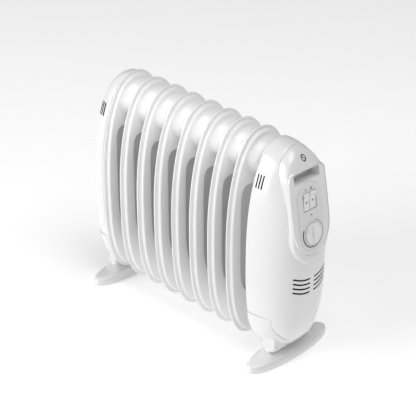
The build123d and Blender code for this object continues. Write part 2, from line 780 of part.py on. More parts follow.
# ---------------------------------------------------------------- feet, screws and wiring
def make_foot(label, foot_x, span):
    """Boat-shaped foot across the heater, its neck, two rubber pads and two screws."""
    base = Plane(origin=(foot_x, 0, foot_bottom_z))
    middle = sum(span) / 2
    with BuildPart() as foot:
        extrude(oval(base, foot_half_depth, foot_half_length, foot_half_length, foot_exponent, foot_exponent),
                amount=foot_height)
        fillet(foot.edges().group_by(Axis.Z)[-1], radius=foot_round)
        extrude(neck_outline(Plane.XY.offset(foot_height / 2), span), amount=neck_top_z - foot_height / 2)
        with BuildSketch(base):
            with Locations((0, -pad_y), (0, pad_y)):
                Circle(pad_radius + slip)
        extrude(amount=pad_height - foot_bottom_z, mode=Mode.SUBTRACT)
        with Locations(Plane(origin=(middle, 0, neck_top_z))):
            with GridLocations(1, 2 * foot_screw_y, 1, 2):
                Hole(screw_radius + slip)
        with BuildSketch(Plane(origin=(middle, 0, 0))):
            with GridLocations(1, 2 * foot_screw_y, 1, 2):
                Circle(screw_head_radius + slip)
        extrude(amount=foot_screw_head_z, mode=Mode.SUBTRACT)
    finish(foot.part, f"{label}_foot")
    with BuildPart() as pads:
        with BuildSketch(Plane(origin=(foot_x, 0, 0))):
            with Locations((0, -pad_y), (0, pad_y)):
                Circle(pad_radius)
        extrude(amount=pad_height)
    finish(pads.part, f"{label}_foot_pads")
    with BuildPart() as screws:
        with BuildSketch(Plane(origin=(middle, 0, foot_screw_head_z - screw_head_height))):
            with GridLocations(1, 2 * foot_screw_y, 1, 2):
                Circle(screw_head_radius)
        extrude(amount=screw_head_height)
        with BuildSketch(Plane(origin=(middle, 0, foot_screw_head_z - screw_head_height))):
            with GridLocations(1, 2 * foot_screw_y, 1, 2):
                Circle(screw_radius)
        extrude(amount=foot_screw_tip_z - foot_screw_head_z + screw_head_height)
    finish(screws.part, f"{label}_foot_screws")


def make_cover_screws():
    """Two long screws that hold the rear cover to the rear bracket."""
    with BuildPart() as screws:
        with BuildSketch(ACROSS.offset(cover_screw_head_x)):
            with GridLocations(1, 2 * cover_screw_offset, 1, 2):
                Circle(screw_radius)
        extrude(amount=cover_screw_tip_x - cover_screw_head_x)
        with BuildSketch(ACROSS.offset(cover_screw_head_x)):
            with GridLocations(1, 2 * cover_screw_offset, 1, 2):
                Circle(screw_head_radius)
        extrude(amount=-cover_screw_head_height)
    finish(screws.part, "rear_cover_screws")


def make_gland():
    """Bush for the supply cord in the side of the front cover."""
    def ring(y):
        return Plane(origin=(gland_x, y, gland_z), x_dir=(1, 0, 0), z_dir=(0, 1, 0))
    with BuildPart() as gland:
        with BuildSketch(ring(gland_inner_y)):
            Circle(gland_radius)
        extrude(amount=gland_outer_y - gland_inner_y)
        fillet(gland.edges().group_by(Axis.Y)[-1], radius=gland_round)
        with BuildSketch(ring(gland_flange_y)):
            Circle(gland_flange_radius)
        extrude(amount=gland_flange_height)
        with BuildSketch(ring(gland_inner_y)):
            Circle(gland_bore_radius)
        extrude(amount=gland_outer_y - gland_inner_y, mode=Mode.SUBTRACT)
    finish(gland.part, "cord_gland")


def make_wiring():
    """Terminal block on the front bracket and the leads that meet there."""
    block_x = front_bracket_x + bracket_sheet
    with BuildPart() as block:
        with BuildSketch(Plane.YZ.offset(block_x)):
            with Locations((0, block_z)):
                Rectangle(block_width, block_height, align=(Align.CENTER, Align.MIN))
        extrude(amount=block_depth)
        chamfer(block.edges().group_by(Axis.X)[-1], length=edge_break)
    finish(block.part, "terminal_block")
    middle_x = block_x + block_depth / 2
    switch_end = PANEL.from_local_coords((0, rocker_centre, switch_back))
    routes = {
        "supply_lead": [
            (gland_x, gland_inner_y, gland_z),
            (gland_x, gland_inner_y - lead_reach, gland_z),
            (middle_x, block_width / 2 + lead_reach, block_z + block_height / 2),
            (middle_x, block_width / 2, block_z + block_height / 2),
        ],
        "element_lead": [
            (terminal_end_x, -tube_spacing, element_z),
            (terminal_end_x + lead_run, -tube_spacing, element_z),
            (terminal_end_x + lead_run, -tube_spacing, block_z - lead_drop),
            (middle_x, -tube_spacing, block_z - lead_reach),
            (middle_x, -tube_spacing, block_z),
        ],
        "switch_lead": [
            switch_end,
            PANEL.from_local_coords((0, rocker_centre, switch_back - lead_run)),
            Vector(middle_x, 0, block_z + block_height + lead_reach),
            Vector(middle_x, 0, block_z + block_height),
        ],
    }
    for label, route in routes.items():
        with BuildPart() as lead:
            with BuildLine():
                path = FilletPolyline(*route, radius=lead_bend)
            with BuildSketch(Plane(origin=path @ 0, z_dir=path % 0)):
                Circle(lead_radius)
            sweep(path=path)
        finish(lead.part, label)


make_elements()
make_end_plate()
make_heating_element()
make_element_fittings()
make_bracket("front_bracket", front_bracket_x, front_waist, front_neck[1], end_front_x)
rear_bracket_x = rear_flank_x - bracket_sheet
make_bracket("rear_bracket", rear_bracket_x, rear_waist, rear_neck[0], rear_bracket_x)
make_front_cover()
make_rear_cover()
make_hood()
make_control_panel()
make_knob()
make_switches()
make_foot("front", front_foot_x, front_neck)
make_foot("rear", rear_foot_x, rear_neck)
make_cover_screws()
make_gland()
make_wiring()
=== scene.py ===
import json
from math import atan2, cos, pi, radians, sin, sqrt

import bmesh
import bpy
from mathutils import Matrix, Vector


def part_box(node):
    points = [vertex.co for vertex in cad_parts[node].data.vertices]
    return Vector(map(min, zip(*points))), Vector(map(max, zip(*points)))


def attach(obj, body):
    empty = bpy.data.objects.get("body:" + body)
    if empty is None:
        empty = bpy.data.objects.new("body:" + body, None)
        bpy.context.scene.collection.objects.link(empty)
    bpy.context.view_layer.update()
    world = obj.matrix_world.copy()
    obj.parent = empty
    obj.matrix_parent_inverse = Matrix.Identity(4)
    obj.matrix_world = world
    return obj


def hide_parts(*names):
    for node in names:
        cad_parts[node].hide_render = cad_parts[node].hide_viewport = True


# The visual model of the oil filled radiator heater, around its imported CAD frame.
# Metres, +Z up, +X to the control end, -Y to the side that the camera sees.

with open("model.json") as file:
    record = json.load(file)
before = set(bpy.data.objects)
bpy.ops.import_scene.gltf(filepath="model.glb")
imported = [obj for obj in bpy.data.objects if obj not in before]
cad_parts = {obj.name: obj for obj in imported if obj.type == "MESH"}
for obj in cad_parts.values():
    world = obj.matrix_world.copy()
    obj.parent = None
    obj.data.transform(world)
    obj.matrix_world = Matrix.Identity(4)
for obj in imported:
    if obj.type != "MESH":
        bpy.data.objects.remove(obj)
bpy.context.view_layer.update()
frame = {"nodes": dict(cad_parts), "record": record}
nodes = frame["nodes"]
mm = 0.001

# ---------------------------------------------------------------- driving dimensions
element_count = 8
axis_z = 174 * mm              # widest level of the fins and covers
loop_points = 160              # points round a loop of a fin or a foot
circle_points = 96             # points round a loop of the knob
cap_steps = 8                  # of the half circle round the end of a band
halvings = 40                  # of the search for a dome's surface
tiny = 1e-12                   # keeps a division or a root away from zero

fin_half_width = 65.5 * mm
fin_top = 165.5 * mm           # above axis_z
fin_bottom = 160.3 * mm        # below axis_z
fin_upper_power = 2.25
fin_lower_power = 2.85
flank_height = 6.5 * mm        # half the thickness of the oil channel
hub_reach = 18 * mm            # half the pitch of the elements
hub_overlap = 0.6 * mm         # hides the joint between neighbouring hubs
upper_hub = (126 * mm, 35.5 * mm, 28 * mm)    # level above axis_z, half width and half height of its base
lower_hub = (-121 * mm, 32 * mm, 27 * mm)
hub_top_share = 0.7            # of the base, where the hub is at its full height
hub_flare = 1.4
flank_rows = 30
# Section of a fin from its rim inwards: inset and height over the seam, in mm.
fin_rim = (
    (0.0, 0.0), (0.04, 0.4), (0.2, 0.75), (0.6, 0.92), (1.4, 0.95), (3.0, 0.95), (4.6, 0.95), (4.95, 1.1),
    (5.15, 1.6), (5.3, 2.4), (5.45, 3.4), (5.65, 4.5), (6.0, 5.4), (6.6, 6.1), (7.5, 6.5),
)
# Section of the web from the flank inwards: growth over the web's outline and height over the seam, in mm.
web_section = (
    (1.2, 6.3), (0.7, 5.7), (0.3, 4.7), (-0.1, 3.3), (-0.6, 2.4), (-1.4, 2.0), (-6, 2.0), (-16, 2.0),
    (-28, 2.0), (-38, 2.0),
)
web_margin = 1.7 * mm          # from the flank's inner edge to the web's outline
web_dip = 1.5 * mm             # of the web's ends, under the hubs
web_dip_share = 0.8            # of the web's width that dips
web_half_width = 42 * mm
web_top = 89 * mm
web_bottom = 86 * mm
web_upper_power = 9.0
web_lower_power = 4.0

cover_outline = (2.25, 2.85)   # roundness of a cover's outline, above and below its widest level
cover_wall = 2.5 * mm
# A dome's depth runs along X from its open face; plan, upper and lower are the roundness of its sides.
front_dome = {
    "face_x": 126 * mm, "depth": 69.2 * mm, "half_width": 61.4 * mm, "top": 162.5 * mm, "bottom": 152.9 * mm,
    "plan": 2.37, "upper": 3.0, "lower": 3.76,
}
rear_dome = {
    "face_x": -162 * mm, "depth": -39 * mm, "half_width": 64 * mm, "top": 162.5 * mm, "bottom": 152.9 * mm,
    "plan": 3.0, "upper": 3.0, "lower": 2.95,
}
# Section of a cover's lip from the inside out: distance from its face and below its outer surface, in mm.
lip_section = ((0.5, 2.5), (0.1, 2.2), (0.0, 1.7), (0.2, 1.1), (0.7, 0.6), (1.5, 0.25), (2.6, 0.06))
pale_rows = 9                  # rows of inner faces behind a lip that are as pale as the outside; the deeper ones carry painted shade
dome_last_angle = radians(89.6)    # of the quarter turn that spaces a dome's rows
dome_crowding = 0.72           # below 1: fewer rows near the open face
split_drop = 92 * mm           # joint between cover and skirt, below axis_z
tongue_half_width = 47.5 * mm
tongue_drop = 46.5 * mm
tongue_steps = 48
seam_gap = 0.5 * mm
beyond_width = 0.12            # past the covers' sides, bottom and ends, for the solids that cut them
beyond_bottom = -0.22
beyond_end = 0.25
front_cut_x = 0.1              # where the solids that part the covers from the skirts begin
rear_cut_x = -0.15
skirt_cut_share = 0.99         # of a dome's face_x, where its skirt's solid begins
vent_cut = (0.13, 0.22)        # from and to, along X
side_cut = 0.08                # past the covers' sides
panel_cut = 0.04               # on both sides of the panel's plane
well_end_x = -0.22
ridge_width = 8                # of the skirt round the tongue, in mm, then it fades over ridge_fade
ridge_fade = 12
ridge_height = 1.5             # in mm; ridge_foot beside the tongue, ridge_rest far from it
ridge_foot = -0.6
ridge_rest = 0.4
under_tongue = -0.8 * mm

vent_rows = 4
vent_level = -30               # of the top row at its inner end, in mm above axis_z
vent_pitch = 7.2               # between rows, in mm
vent_inner = 5                 # across from the middle, in mm
vent_outer = 31
vent_rise = 6.5 * mm           # of each curved slot, from its inner end to its outer end
vent_half = 1.25 * mm
vent_steps = 16
side_slot_pitch = 4.5 * mm
side_slot_levels = (106.6 * mm, 115 * mm, 123.4 * mm)
front_slot_x = 137 * mm
front_slot_half = 1.15 * mm
rear_slot_x = -175.5 * mm
rear_slot_half = 1.35 * mm
well_radius = 4.2 * mm         # screw recesses in the back of the rear cover
well_points = 48
well_height = 60 * mm          # above and below axis_z
well_floor_x = -0.1988

panel_tilt = radians(9.7)
panel_origin = Vector((189 * mm, 0, 236 * mm))
panel_up = Vector((-sin(panel_tilt), 0, cos(panel_tilt)))
panel_out = Vector((cos(panel_tilt), 0, sin(panel_tilt)))
panel_half_width = 34.8 * mm
panel_top = 71 * mm
panel_corner = 11 * mm
panel_chin = -8 * mm
panel_chin_depth = 46 * mm
chin_steps = 40
corner_steps = 8
panel_gap = 0.6 * mm           # round the panel in the front cover
knob_v = -22.6 * mm            # knob's axis, along the panel
fascia_out = 0.9 * mm          # front of the fascia over the panel's plane
print_height = 0.08 * mm
wedge_radius = 19.3 * mm       # printed round the knob
wedge_half = (0.32 * mm, 1.15 * mm)    # its half width at each end
# Printed strokes of the fascia: from, to and half width, in mm over the panel's plane.
fascia_strokes = (
    ((-6.2, 41.2), (-6.2, 44.0), 0.5), ((3.4, 41.2), (3.4, 44.0), 0.5), ((5.8, 41.2), (5.8, 44.0), 0.5),
    ((-1.4, 5.0), (1.4, 5.0), 0.55), ((-12.7, 12.5), (-12.7, 37), 0.3), ((12.7, 12.5), (12.7, 37), 0.3),
)
# Half section of the knob's disc, from the middle of its back to the middle of its front: radius and distance
# out of the panel, in mm.
disc_section = (
    (0.01, 1.4), (14.6, 1.4), (15.0, 1.6), (15.2, 2.1), (15.2, 3.2), (15.0, 3.8), (14.6, 4.1), (14.1, 4.2),
    (13.5, 4.1), (13.0, 3.8), (12.6, 3.5), (11.8, 3.35), (0.01, 3.3),
)
# Levels of the knob's grip bar: half length, half width and distance out of the panel, in mm.
bar_levels = (
    (14.0, 3.3, 1.6), (14.0, 3.25, 3.9), (13.8, 3.0, 4.9), (13.3, 2.5, 6.2), (12.8, 1.9, 7.1),
    (12.2, 1.2, 7.5), (11.4, 0.5, 7.6),
)
bar_power = 3.4

hood_half_width = 37.6 * mm
hood_shoulder = 112 * mm       # above axis_z
hood_top_radius = 47 * mm
hood_chin = 38 * mm
hood_bottom_radius = 43 * mm
hood_rise = 1.2 * mm           # of the hood's top over the cap's dome and over the panel's plane
hood_blend = 1.6 * mm          # eases the cap into the lip round the panel
hood_rim = 1.3 * mm            # from the panel's outline to the rim of the lip
hood_edge = 0.25 * mm          # from the panel's outline to the lip's inner wall
hood_shoulder_width = 4.0 * mm
hood_least_shoulder = 0.6 * mm
hood_start = 0.5 * mm          # of its top, out of the cover
hood_centre = 8 * mm           # above the panel's origin, where its rows run to
hood_steps = 14                # rows of the hood's top, closer together near its foot
hood_crowding = 1.8
# Rows of its base, from the inside out: distance outside its outline and out of the cover, in mm.
hood_base = ((-0.5, -2.2), (1.6, -1.4), (0.9, 0.15))
# Rows of its lip: share of the way from the rim to the edge and distance out of the panel's plane, in mm.
hood_lip = ((0.6, 1.0), (1.0, 0.55), (1.0, 0.1), (1.0, -3.0), (0.0, -3.4))
cap_dome = dict(front_dome, half_width=80 * mm)    # flatter than the cover under it

badge_height = 147 * mm        # above axis_z
badge_radius = 3.5 * mm
badge_half = 0.55 * mm
badge_steps = 24               # of half its ring
badge_stroke_half = 0.5 * mm
badge_reach = 2.2 * mm         # of the stroke, across and up from the ring's centre
badge_thickness = 0.5 * mm

front_foot_x = 152.1 * mm
front_neck = (148 * mm, 8.5 * mm)          # a neck's and a collar's middle and half depth, along X
front_collar = (152.25 * mm, 13.1 * mm)
rear_foot_x = -170.4 * mm
rear_neck = (-176.5 * mm, 9.5 * mm)
foot_half_depth = 22.6 * mm
foot_half_length = 80 * mm
foot_power = 2.2
neck_half_length = 39 * mm
neck_power = 9.0
neck_start_inset = 10.2 * mm
neck_spread = 1.35             # widens the sweep's first loops along X
neck_limit = foot_half_depth - 0.9 * neck_start_inset    # as far as they reach along X
# Side of the foot's boat: height and inset, in mm.
foot_section = (
    (1.0, 2.0), (1.2, 1.0), (2.0, 0.3), (3.5, 0.0), (6.5, 0.2), (8.8, 0.9), (10.6, 2.1), (11.9, 3.9),
    (12.7, 6.2), (13.1, 8.6),
)
# Sweep from the boat into the neck: height in mm, share of the way to the neck, and share of the way from
# the neck to its collar.
neck_sweep = (
    (13.3, 0.0, 0), (13.5, 0.14, 0), (14.1, 0.30, 0), (15.1, 0.46, 0), (16.8, 0.62, 0), (19.0, 0.76, 0),
    (20.4, 0.84, 0), (20.7, 0.87, 0.5), (21.3, 0.90, 0.8), (23.0, 0.94, 0.93), (26.0, 0.98, 1),
    (29.5, 1.0, 1), (44.0, 1.0, 1),
)

noise_low = 0.3                # the usual range of a noise
noise_high = 0.7

camera_place = (1.3718, -1.3788, 1.2969)
camera_target = (-0.00696, 0.0, 0.17117)
camera_lens = 135.05
sensor_width = 36
# Square lamps: name, place, width and power in watts.
lamps = (("key", (-1.3, -2.7, 1.2), 2.2, 66), ("top", (1.1, 0.0, 3.1), 2.2, 56))
lamp_target = (0, 0, 0.17)
floor_half_size = 12
floor_glow = 0.27
sky_strength = 0.18


# ---------------------------------------------------------------- mesh helpers
def add_mesh(name, points, faces, materials, face_slots=None, crease=radians(40)):
    """Object from points and faces, smooth except across edges sharper than crease."""
    mesh = bpy.data.meshes.new(name)
    mesh.from_pydata([tuple(p) for p in points], [], faces)
    mesh.update()
    piece = bpy.data.objects.new(name, mesh)
    bpy.context.scene.collection.objects.link(piece)
    for material in materials:
        mesh.materials.append(material)
    if face_slots is not None:
        mesh.polygons.foreach_set("material_index", face_slots)
    mesh.polygons.foreach_set("use_smooth", [True] * len(mesh.polygons))
    mesh.set_sharp_from_angle(angle=crease)
    return piece


def skin(loops, ring=False):
    """Points and faces of a closed skin over loops of equal length: capped at both ends, or a ring."""
    count = len(loops[0])
    points = [p for loop in loops for p in loop]
    faces = []
    for row in range(len(loops) if ring else len(loops) - 1):
        low = row * count
        high = (row + 1) % len(loops) * count
        for k in range(count):
            turn = (k + 1) % count
            faces.append((low + k, low + turn, high + turn, high + k))
    if ring:
        return points, faces
    faces.append(tuple(reversed(range(count))))
    last = (len(loops) - 1) * count
    faces.append(tuple(last + k for k in range(count)))
    return points, faces


def oval_point(angle, half_width, top, bottom, upper, lower):
    """Point of an oval whose upper and lower halves have their own height and roundness."""
    power = upper if sin(angle) >= 0 else lower
    height = top if sin(angle) >= 0 else bottom
    scale = (abs(cos(angle)) ** power + abs(sin(angle)) ** power) ** (-1 / power)
    return scale * half_width * cos(angle), scale * height * sin(angle)


def mix(a, b, amount):
    """Value this share of the way from a to b."""
    return a + (b - a) * amount


# ---------------------------------------------------------------- materials
def new_material(name, color, rough, coat=0.0, coat_rough=0.1, metallic=0.0, specular=0.5):
    """Principled material with its constants on the shader, ready for procedural detail."""
    material = bpy.data.materials.new(name)
    material.use_nodes = True
    shader = material.node_tree.nodes["Principled BSDF"]
    shader.inputs["Base Color"].default_value = (*color, 1)
    shader.inputs["Roughness"].default_value = rough
    shader.inputs["Metallic"].default_value = metallic
    shader.inputs["Coat Weight"].default_value = coat
    shader.inputs["Coat Roughness"].default_value = coat_rough
    shader.inputs["Specular IOR Level"].default_value = specular
    return material


def add_noise(tree, scale, detail=4.0, stretch=(1, 1, 1)):
    """Noise over the object's own coordinates."""
    place = tree.nodes.new("ShaderNodeTexCoord")
    mapping = tree.nodes.new("ShaderNodeMapping")
    mapping.inputs["Scale"].default_value = stretch
    noise = tree.nodes.new("ShaderNodeTexNoise")
    noise.inputs["Scale"].default_value = scale
    noise.inputs["Detail"].default_value = detail
    tree.links.new(place.outputs["Object"], mapping.inputs["Vector"])
    tree.links.new(mapping.outputs["Vector"], noise.inputs["Vector"])
    return noise.outputs["Fac"]


def vary_color(material, color, amount, scale):
    """Slight drift of the colour over the surface."""
    tree = material.node_tree
    shader = tree.nodes["Principled BSDF"]
    ramp = tree.nodes.new("ShaderNodeValToRGB")
    ramp.color_ramp.elements[0].position = noise_low
    ramp.color_ramp.elements[1].position = noise_high
    ramp.color_ramp.elements[0].color = (*[c * (1 - amount) for c in color], 1)
    ramp.color_ramp.elements[1].color = (*[min(1, c * (1 + amount)) for c in color], 1)
    tree.links.new(add_noise(tree, scale), ramp.inputs["Fac"])
    tree.links.new(ramp.outputs["Color"], shader.inputs["Base Color"])


def vary_roughness(material, low, high, scale, stretch=(1, 1, 1)):
    """Roughness that wanders between two values."""
    tree = material.node_tree
    spread = tree.nodes.new("ShaderNodeMapRange")
    spread.inputs["From Min"].default_value = noise_low
    spread.inputs["From Max"].default_value = noise_high
    spread.inputs["To Min"].default_value = low
    spread.inputs["To Max"].default_value = high
    tree.links.new(add_noise(tree, scale, 5.0, stretch), spread.inputs["Value"])
    tree.links.new(spread.outputs["Result"], tree.nodes["Principled BSDF"].inputs["Roughness"])


def add_bump(material, scale, depth, strength, stretch=(1, 1, 1)):
    """Fine relief: orange peel of a paint, grain of a moulding or drawing lines of a metal."""
    tree = material.node_tree
    bump = tree.nodes.new("ShaderNodeBump")
    bump.inputs["Distance"].default_value = depth
    bump.inputs["Strength"].default_value = strength
    tree.links.new(add_noise(tree, scale, 3.0, stretch), bump.inputs["Height"])
    tree.links.new(bump.outputs["Normal"], tree.nodes["Principled BSDF"].inputs["Normal"])


def painted(name, color, rough, coat, peel=0.12):
    """Stoved enamel: a little orange peel and a soft coat."""
    material = new_material(name, color, rough, coat, 0.25)
    vary_color(material, color, 0.02, 14)
    vary_roughness(material, rough - 0.05, rough + 0.06, 30)
    add_bump(material, 420, 0.0002, peel)
    return material


def moulded(name, color, rough, grain_scale, grain, coat=0.0):
    """Injection moulded plastic with a fine grain."""
    material = new_material(name, color, rough, coat, 0.12)
    vary_color(material, color, 0.015, 9)
    vary_roughness(material, rough - 0.04, rough + 0.05, 40)
    add_bump(material, grain_scale, 0.0001, grain)
    return material


def metal(name, color, rough, stretch=(1, 1, 1)):
    """Bare metal with drawing lines, stretched along its grain."""
    material = new_material(name, color, rough, metallic=1.0)
    vary_color(material, color, 0.05, 60)
    vary_roughness(material, rough - 0.08, rough + 0.12, 220, stretch)
    add_bump(material, 900, 0.00005, 0.2, stretch)
    return material


enamel = painted("enamel", (0.92, 0.92, 0.92), 0.36, 0.3)
# Darker grey enamel on the fins' recessed web: painted shade over the same enamel as the rest of the fin.
enamel_painted_shade = painted("enamel_painted_shade", (0.61, 0.61, 0.61), 0.5, 0.1)
white_plastic = moulded("white_plastic", (0.81, 0.81, 0.808), 0.22, 900, 0.04, 0.5)
panel_plastic = moulded("panel_plastic", (0.80, 0.80, 0.80), 0.45, 2600, 0.2)
fascia_plastic = moulded("fascia_plastic", (0.75, 0.75, 0.75), 0.4, 3000, 0.15)
knob_plastic = moulded("knob_plastic", (0.84, 0.84, 0.84), 0.28, 1600, 0.08, 0.4)
rocker_plastic = moulded("rocker_plastic", (0.82, 0.82, 0.82), 0.28, 1600, 0.08, 0.4)
red_lens = moulded("red_lens", (0.22, 0.008, 0.008), 0.2, 800, 0.05, 0.3)
rubber = moulded("rubber", (0.04, 0.04, 0.04), 0.75, 700, 0.5)
black_plastic = moulded("black_plastic", (0.02, 0.02, 0.02), 0.5, 1500, 0.3)
zinc_steel = metal("zinc_steel", (0.62, 0.63, 0.65), 0.32, (1, 1, 12))
tube_steel = metal("tube_steel", (0.42, 0.40, 0.39), 0.45, (1, 12, 12))
lead_sleeve = moulded("lead_sleeve", (0.25, 0.25, 0.25), 0.6, 900, 0.3)
# Near-black on the covers' deep inner faces and vent walls: painted shade where the white inside of a cover
# lies in shadow.
painted_shade_inside = moulded("painted_shade_inside", (0.012, 0.012, 0.012), 0.8, 900, 0.1)
ink = moulded("ink", (0.03, 0.03, 0.03), 0.45, 3000, 0.1)
slot_materials = {
    "enamelled_steel": enamel,
    "white_plastic": white_plastic,
    "panel_plastic": panel_plastic,
    "fascia_plastic": fascia_plastic,
    "knob_plastic": knob_plastic,
    "rocker_plastic": rocker_plastic,
    "red_lens": red_lens,
    "rubber": rubber,
    "zinc_plated_steel": zinc_steel,
    "heating_tube": tube_steel,
    "black_plastic": black_plastic,
    "lead_sleeve": lead_sleeve,
}


def paint_nodes():
    """Every CAD node takes the material of its slot in the record."""
    for entry in frame["record"]["subparts"]:
        node = nodes[entry["node"]]
        node.data.materials.clear()
        node.data.materials.append(slot_materials[entry["material_slot"]])
        node.data.polygons.foreach_set("use_smooth", [True] * len(node.data.polygons))
        node.data.set_sharp_from_angle(angle=radians(32))


# ---------------------------------------------------------------- fins
def hub_bulge(y, z, hub):
    """Share of a hub's height at a point: flared from its base to the joint with the next element."""
    centre, half_width, half_height = hub
    away = sqrt((y / half_width) ** 2 + ((z - centre) / half_height) ** 2)
    rise = min(1.0, max(0.0, (1 - away) / (1 - hub_top_share)))
    return rise ** hub_flare


def fin_loops(side, reach):
    """Loops of one face of a fin, from the seam at the rim to the middle of the web."""
    angles = [2 * pi * k / loop_points for k in range(loop_points)]
    last_inset = fin_rim[-1][0] * mm
    loops = []
    for inset, height in fin_rim:
        loops.append([(side * height * mm, *fin_point(angle, inset * mm)) for angle in angles])
    for step in range(1, flank_rows + 1):
        amount = step / flank_rows
        loop = []
        for angle in angles:
            y0, z0 = fin_point(angle, last_inset)
            y1, z1 = web_point(angle, web_margin)
            y = mix(y0, y1, amount)
            z = mix(z0, z1, amount)
            rise = hub_bulge(y, z, upper_hub) + hub_bulge(y, z, lower_hub)
            loop.append((side * (flank_height + (reach - flank_height) * rise), y, z))
        loops.append(loop)
    for grow, height in web_section:
        loops.append([(side * height * mm, *web_point(angle, grow * mm)) for angle in angles])
    return loops


def fin_point(angle, inset):
    """Outline of a fin, this far in from its rim."""
    return oval_point(angle, fin_half_width - inset, fin_top - inset, fin_bottom - inset,
                      fin_upper_power, fin_lower_power)


def web_point(angle, grow):
    """Outline of the web, whose ends dip under the hubs."""
    y, z = oval_point(angle, web_half_width + grow, web_top + grow, web_bottom + grow,
                      web_upper_power, web_lower_power)
    across = min(1.0, abs(y) / (web_dip_share * web_half_width)) ** 2
    dip = web_dip * (1 - across) * min(1.0, abs(z) / web_top) ** 6
    return y, z - dip if z > 0 else z + dip


def make_fin(index):
    """One element of the radiator: hemmed rim, oil channel, hubs and welded web; the web's enamel is darkened
    as painted shade.
    """
    low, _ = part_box(f"element_{index}_front_sheet")
    seam_x = low.x
    reach = hub_reach + hub_overlap
    front = fin_loops(1, reach)
    rear = fin_loops(-1, reach if index > 1 else flank_height)
    loops = list(reversed(rear)) + front[1:]
    loops = [[(seam_x + x, y, axis_z + z) for x, y, z in loop] for loop in loops]
    points, faces = skin(loops)
    web_rows = len(web_section) - 1
    rows = len(loops) - 1
    slots = []
    for row in range(rows):
        # The web rows and the end caps take slot 1, the enamel darkened as painted shade.
        inside = row < web_rows or row >= rows - web_rows
        slots += [1 if inside else 0] * loop_points
    slots += [1, 1]
    fin = add_mesh(f"fin_{index}", points, faces, [enamel, enamel_painted_shade], slots, radians(75))
    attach(fin, "heater")
    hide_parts(f"element_{index}_rear_sheet", f"element_{index}_front_sheet")


# ---------------------------------------------------------------- covers
def dome_section(dome, station, grow, count, lift):
    """Loop of a cover's dome at this fraction of its depth; lift(y, z) adds its own growth."""
    sign = 1 if dome["depth"] > 0 else -1
    left = max(0.0, 1 - station ** dome["plan"])
    loop = []
    for k in range(count):
        angle = 2 * pi * k / count
        extra = grow
        for _ in range(2 if lift else 1):
            width = (dome["half_width"] + extra) * left ** (1 / dome["plan"])
            above = (dome["top"] + extra) * max(0.0, 1 - station ** dome["upper"]) ** (1 / dome["upper"])
            below = (dome["bottom"] + extra) * max(0.0, 1 - station ** dome["lower"]) ** (1 / dome["lower"])
            y, z = oval_point(angle, width, above, below, *cover_outline)
            if lift:
                extra = grow + lift(y, z)
        x = dome["face_x"] + (dome["depth"] + sign * extra) * station
        loop.append((x, y, axis_z + z))
    return loop


def dome_surface_x(dome, y, z, grow=0.0):
    """Where the dome's surface is at this y and this height above axis_z."""
    sign = 1 if dome["depth"] > 0 else -1
    power = cover_outline[0] if z >= 0 else cover_outline[1]
    side = "upper" if z >= 0 else "lower"
    height = (dome["top"] if z >= 0 else dome["bottom"]) + grow
    low, high = 0.0, 1.0
    for _ in range(halvings):
        station = (low + high) / 2
        width = (dome["half_width"] + grow) * max(tiny, 1 - station ** dome["plan"]) ** (1 / dome["plan"])
        reach = height * max(tiny, 1 - station ** dome[side]) ** (1 / dome[side])
        if (abs(y) / width) ** power + (abs(z) / reach) ** power < 1:
            low = station
        else:
            high = station
    return dome["face_x"] + (dome["depth"] + sign * grow) * low


def dome_shell(dome, rows, count, lift=None):
    """Closed shell of a cover: inner surface, lip and outer surface; its deep inner faces take slot 1, a
    near-black painted shade.
    """
    sign = 1 if dome["depth"] > 0 else -1
    stations = [sin(dome_last_angle * k / rows) ** dome_crowding for k in range(rows + 1)]
    inner = [dome_section(dome, s, -cover_wall, count, lift) for s in reversed(stations[1:])]
    lip = []
    for setback, drop in lip_section:
        loop = dome_section(dome, 0.0, -drop * mm, count, lift)
        lip.append([(x + sign * setback * mm, y, z) for x, y, z in loop])
    outer = [dome_section(dome, s, 0.0, count, lift) for s in stations[2:]]
    points, faces = skin(inner + lip + outer)
    painted_shade_faces = (len(inner) - 1 - pale_rows) * count
    slots = [1] * painted_shade_faces + [0] * (len(faces) - painted_shade_faces - 2) + [1, 0]
    return points, faces, slots


def prism(outline, place):
    """Closed prism over an outline of (a, b) pairs; place(a, b, end) gives its points for end 0 and 1."""
    near = [place(a, b, 0) for a, b in outline]
    far = [place(a, b, 1) for a, b in outline]
    return skin([near, far])


def join_solids(solids):
    """Several (points, faces) as one."""
    points, faces = [], []
    for more_points, more_faces in solids:
        base = len(points)
        points += more_points
        faces += [tuple(base + k for k in face) for face in more_faces]
    return points, faces


def carve(piece, solid, operation="DIFFERENCE", slot=0):
    """Cuts piece with a solid; the cut faces take this material slot."""
    points, faces = solid
    mesh = bpy.data.meshes.new("cutter")
    mesh.from_pydata([tuple(p) for p in points], [], faces)
    for material in piece.data.materials:
        mesh.materials.append(material)
    mesh.polygons.foreach_set("material_index", [slot] * len(mesh.polygons))
    mesh.update()
    fix_normals(mesh)
    cutter = bpy.data.objects.new("cutter", mesh)
    bpy.context.scene.collection.objects.link(cutter)
    cut = piece.modifiers.new("cut", "BOOLEAN")
    cut.operation = operation
    cut.solver = "EXACT"
    cut.object = cutter
    bpy.context.view_layer.update()
    shape = piece.evaluated_get(bpy.context.evaluated_depsgraph_get())
    carved = bpy.data.meshes.new_from_object(shape)
    piece.modifiers.remove(cut)
    old = piece.data
    piece.data = carved
    bpy.data.objects.remove(cutter)
    bpy.data.meshes.remove(mesh)
    bpy.data.meshes.remove(old)


def fix_normals(mesh):
    """Faces of a closed mesh turned outwards."""
    work = bmesh.new()
    work.from_mesh(mesh)
    bmesh.ops.recalc_face_normals(work, faces=work.faces)
    work.to_mesh(mesh)
    work.free()


def settle(piece, crease=radians(35)):
    """Smooth shading that keeps the cut edges sharp."""
    mesh = piece.data
    mesh.polygons.foreach_set("use_smooth", [True] * len(mesh.polygons))
    mesh.set_sharp_from_angle(angle=crease)


